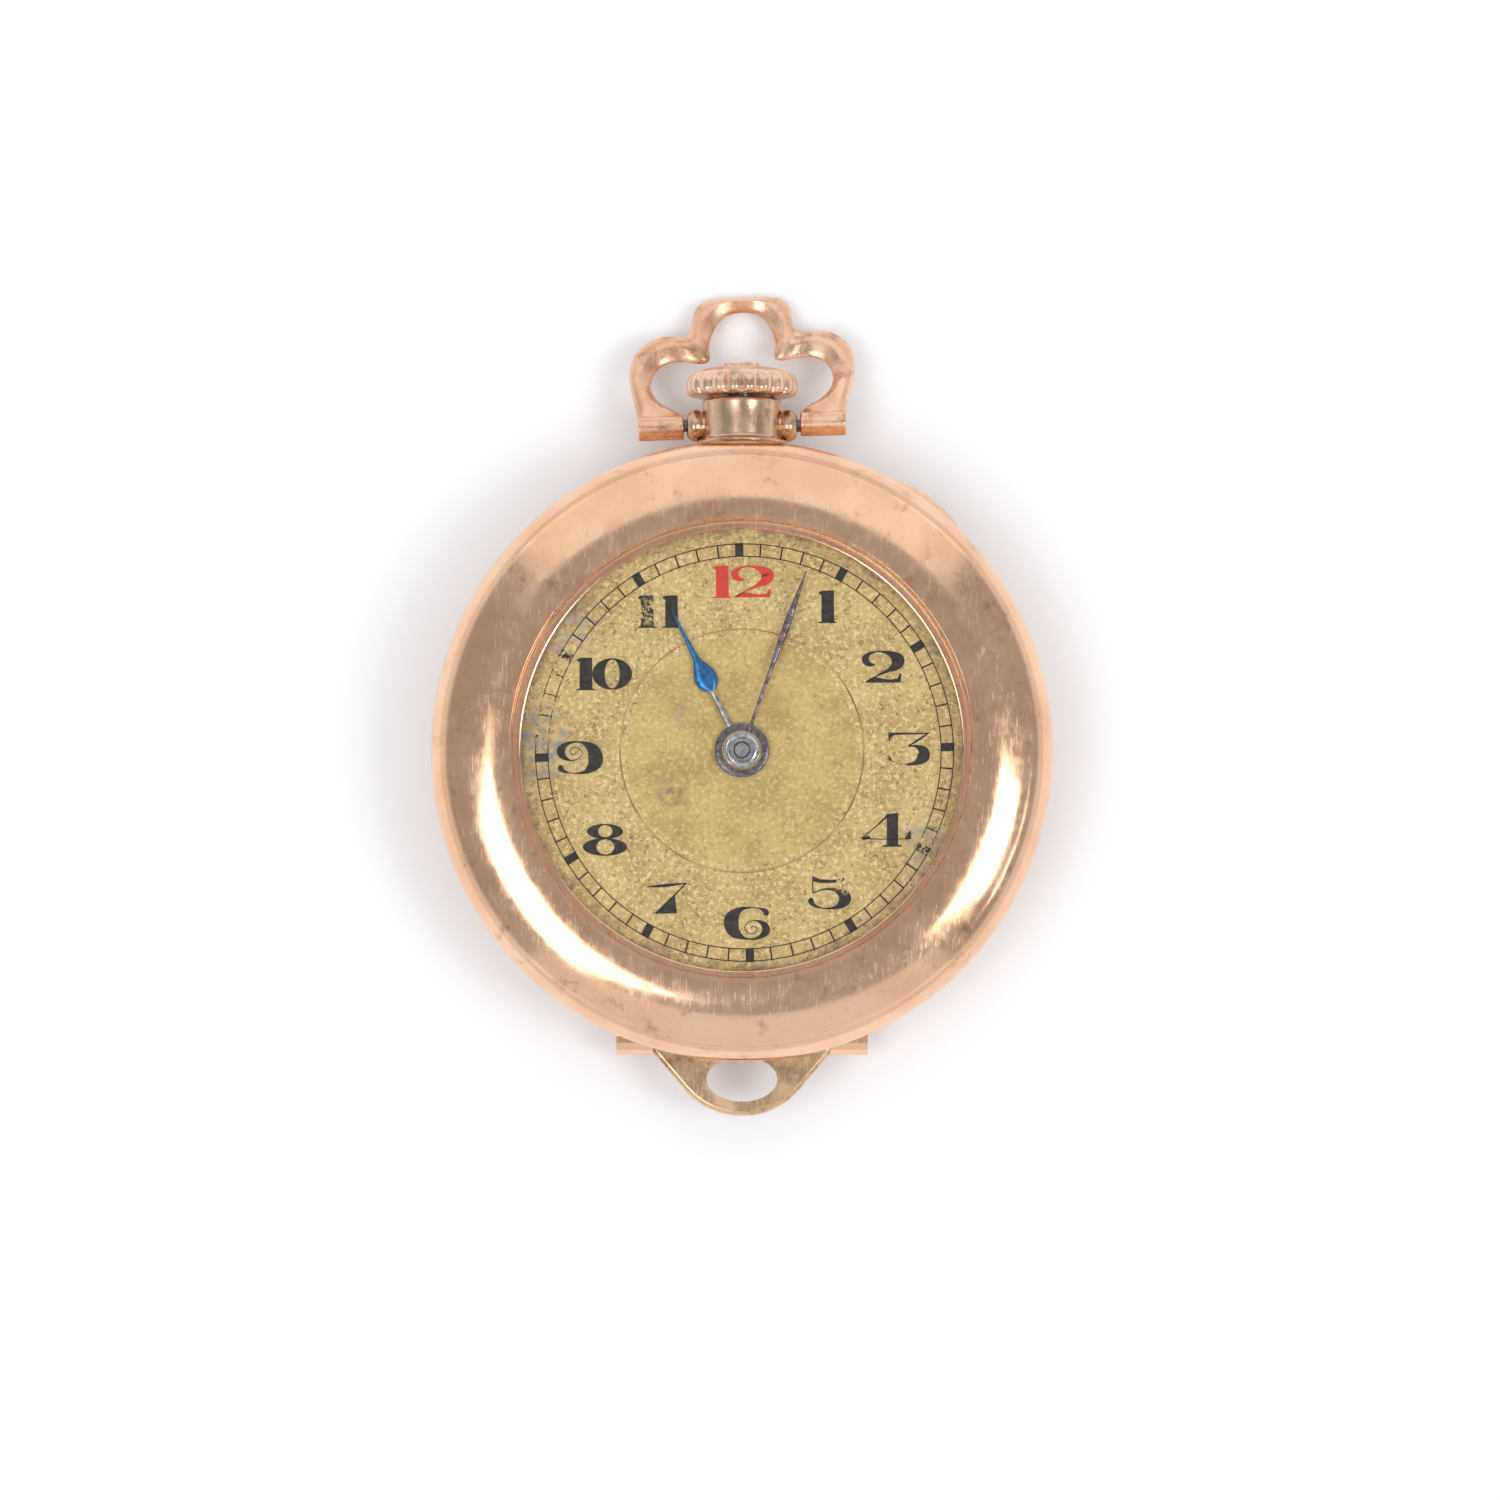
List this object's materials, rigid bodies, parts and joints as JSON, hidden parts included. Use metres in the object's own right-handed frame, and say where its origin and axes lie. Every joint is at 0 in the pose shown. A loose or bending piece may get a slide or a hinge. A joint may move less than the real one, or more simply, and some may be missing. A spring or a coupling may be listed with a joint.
{
  "type": "fob watch",
  "caption": "Ladies' fob watch with a wide rounded bezel, trefoil bow, fluted crown, gilt dial with numerals, blued hands and a hinged back cover.",
  "frame": {"origin": "middle of the flat land of the back cover, which the watch lies on", "axes": "+Z out of the dial, +Y towards 12 o'clock and the crown, +X towards 3 o'clock"},
  "size_m": [0.028, 0.0377, 0.0082],
  "materials": {
    "rose_gold": "polished",
    "worn_brass": "satin",
    "bow_metal": "satin",
    "dial_brass": "matte",
    "wheel_brass": "satin",
    "nickel_plate": "satin",
    "steel": "polished",
    "blued_steel": "polished",
    "spring_steel": "satin",
    "ruby": "gloss",
    "crystal": "gloss"
  },
  "bodies": {
    "case": {"case_band": "rose_gold", "bezel": "rose_gold", "crystal": "crystal", "hinge_pin": "steel", "bottom_lug": "worn_brass", "pendant_neck": "worn_brass", "bow_pins": "steel", "dial": "dial_brass", "main_plate": "nickel_plate", "case_screws": "steel", "barrel_bridge": "nickel_plate", "train_bridge": "nickel_plate", "pallet_bridge": "nickel_plate", "balance_cock": "nickel_plate", "bridge_screws": "blued_steel", "plate_jewels": "ruby", "bridge_jewels": "ruby", "setting_bridge": "steel", "crown_wheel_screw": "steel", "click_spring": "spring_steel", "hairspring": "blued_steel", "hairspring_stud": "steel"},
    "cover": {"back_cover": "rose_gold"},
    "bow": {"bow": "bow_metal"},
    "pinion": {"winding_pinion": "steel"},
    "stem": {"winding_stem": "steel", "crown": "bow_metal"},
    "clutch": {"clutch": "steel"},
    "setting_lever": {"setting_lever": "steel"},
    "yoke": {"yoke": "steel"},
    "crown_wheel": {"crown_wheel": "steel"},
    "arbor": {"barrel_arbor": "steel", "ratchet_wheel": "steel", "ratchet_screw": "steel"},
    "barrel": {"mainspring_barrel": "wheel_brass", "barrel_cover": "wheel_brass", "mainspring": "spring_steel"},
    "centre_pinion": {"centre_pinion": "steel"},
    "centre": {"centre_wheel": "wheel_brass", "centre_arbor": "steel"},
    "third": {"third_wheel": "wheel_brass", "third_arbor": "steel"},
    "fourth": {"fourth_wheel": "wheel_brass", "fourth_arbor": "steel"},
    "escape": {"escape_wheel": "steel", "escape_arbor": "steel"},
    "pallet": {"pallet_fork": "steel", "pallet_stones": "ruby"},
    "balance": {"balance_wheel": "wheel_brass", "balance_staff": "steel"},
    "minute": {"cannon_pinion": "steel", "minute_hand": "blued_steel"},
    "minute_wheel": {"minute_wheel": "wheel_brass"},
    "hour": {"hour_wheel": "wheel_brass", "hour_hand": "blued_steel"},
    "setting_wheel": {"setting_wheel": "steel"},
    "click": {"click": "steel"},
    "regulator": {"regulator": "steel"}
  },
  "joints": [
    {"name": "cover_open", "type": "hinge", "parent": "case", "child": "cover", "pos_m": [0, -0.01295, 0.002], "axis": [-1, 0, 0], "range_deg": [0, 105]},
    {"name": "bow_swing", "type": "hinge", "parent": "case", "child": "bow", "pos_m": [0, 0.0149, 0.0034], "axis": [1, 0, 0], "range_deg": [-62.5, 115.5]},
    {"name": "crown_turn", "type": "hinge", "parent": "case", "child": "pinion", "pos_m": [0, 0.0094, 0.0034], "axis": [0, 1, 0], "continuous": true},
    {"name": "crown_pull", "type": "slide", "parent": "pinion", "child": "stem", "axis": [0, 1, 0], "range_m": [0, 0.00035]},
    {"name": "clutch_slide", "type": "slide", "parent": "pinion", "child": "clutch", "axis": [0, 1, 0], "range_m": [-0.00035, 0]},
    {"name": "setting_lever_turn", "type": "hinge", "parent": "case", "child": "setting_lever", "pos_m": [0.0026, 0.0092, 0.0048], "axis": [0, 0, 1], "range_deg": [-9, 0]},
    {"name": "yoke_turn", "type": "hinge", "parent": "case", "child": "yoke", "pos_m": [-0.0032, 0.0083, 0.0048], "axis": [0, 0, 1], "range_deg": [-7.3, 0]},
    {"name": "crown_wheel_turn", "type": "hinge", "parent": "case", "child": "crown_wheel", "pos_m": [0, 0.00684, 0.0016], "axis": [0, 0, 1], "continuous": true},
    {"name": "ratchet_turn", "type": "hinge", "parent": "case", "child": "arbor", "pos_m": [-0.0043, 0.0031, 0.0016], "axis": [0, 0, 1], "continuous": true},
    {"name": "click_lift", "type": "hinge", "parent": "case", "child": "click", "pos_m": [-0.00755, 0.00635, 0.0017], "axis": [0, 0, 1], "range_deg": [0, 10]},
    {"name": "barrel_turn", "type": "hinge", "parent": "case", "child": "barrel", "pos_m": [-0.0043, 0.0031, 0.0028], "axis": [0, 0, -1], "continuous": true},
    {"name": "centre_pinion_turn", "type": "hinge", "parent": "case", "child": "centre_pinion", "pos_m": [0, 0, 0.0032], "axis": [0, 0, -1], "continuous": true},
    {"name": "fourth_turn", "type": "hinge", "parent": "case", "child": "fourth", "pos_m": [0.00431, -0.0022, 0.0032], "axis": [0, 0, -1], "continuous": true},
    {"name": "third_turn", "type": "hinge", "parent": "case", "child": "third", "pos_m": [0.00352, 0.00076, 0.0029], "axis": [0, 0, -1], "continuous": true},
    {"name": "centre_turn", "type": "hinge", "parent": "case", "child": "centre", "pos_m": [0, 0, 0.0036], "axis": [0, 0, -1], "continuous": true},
    {"name": "escape_turn", "type": "hinge", "parent": "case", "child": "escape", "pos_m": [0.00188, -0.0036, 0.0027], "axis": [0, 0, -1], "continuous": true},
    {"name": "balance_swing", "type": "hinge", "parent": "case", "child": "balance", "pos_m": [-0.00213, -0.00641, 0.0019], "axis": [0, 0, 1], "range_deg": [-20, 20]},
    {"name": "pallet_rock", "type": "hinge", "parent": "case", "child": "pallet", "pos_m": [0, -0.00492, 0.0027], "axis": [0, 0, 1], "range_deg": [-4.3, 4.3]},
    {"name": "minute_hand_turn", "type": "hinge", "parent": "case", "child": "minute", "pos_m": [0, 0, 0.0063], "axis": [0, 0, -1], "continuous": true},
    {"name": "minute_wheel_turn", "type": "hinge", "parent": "case", "child": "minute_wheel", "pos_m": [0.00089, 0.00223, 0.0048], "axis": [0, 0, -1], "continuous": true},
    {"name": "hour_hand_turn", "type": "hinge", "parent": "case", "child": "hour", "pos_m": [0, 0, 0.006], "axis": [0, 0, -1], "continuous": true},
    {"name": "setting_wheel_turn", "type": "hinge", "parent": "case", "child": "setting_wheel", "pos_m": [0, 0.0052, 0.0048], "axis": [0, 0, -1], "continuous": true},
    {"name": "regulator_turn", "type": "hinge", "parent": "case", "child": "regulator", "pos_m": [-0.00213, -0.00641, 0.0007], "axis": [0, 0, 1], "range_deg": [-12, 12]}
  ],
  "couplings": [
    {"joint": "crown_wheel_turn", "follows": "crown_turn", "ratio": 0.66667},
    {"joint": "ratchet_turn", "follows": "crown_turn", "ratio": -0.43478},
    {"joint": "clutch_slide", "follows": "crown_pull", "ratio": -1},
    {"joint": "setting_lever_turn", "follows": "crown_pull", "rad_per_m": -384.62},
    {"joint": "yoke_turn", "follows": "crown_pull", "rad_per_m": -312.5},
    {"joint": "centre_pinion_turn", "follows": "barrel_turn", "ratio": -6},
    {"joint": "third_turn", "follows": "fourth_turn", "ratio": -0.13333},
    {"joint": "centre_turn", "follows": "fourth_turn", "ratio": 0.016667},
    {"joint": "escape_turn", "follows": "fourth_turn", "ratio": -10},
    {"joint": "pallet_rock", "follows": "balance_swing", "ratio": -0.2093},
    {"joint": "minute_wheel_turn", "follows": "minute_hand_turn", "ratio": -0.33333},
    {"joint": "hour_hand_turn", "follows": "minute_hand_turn", "ratio": 0.083333},
    {"joint": "setting_wheel_turn", "follows": "minute_hand_turn", "ratio": 0.46154}
  ]
}
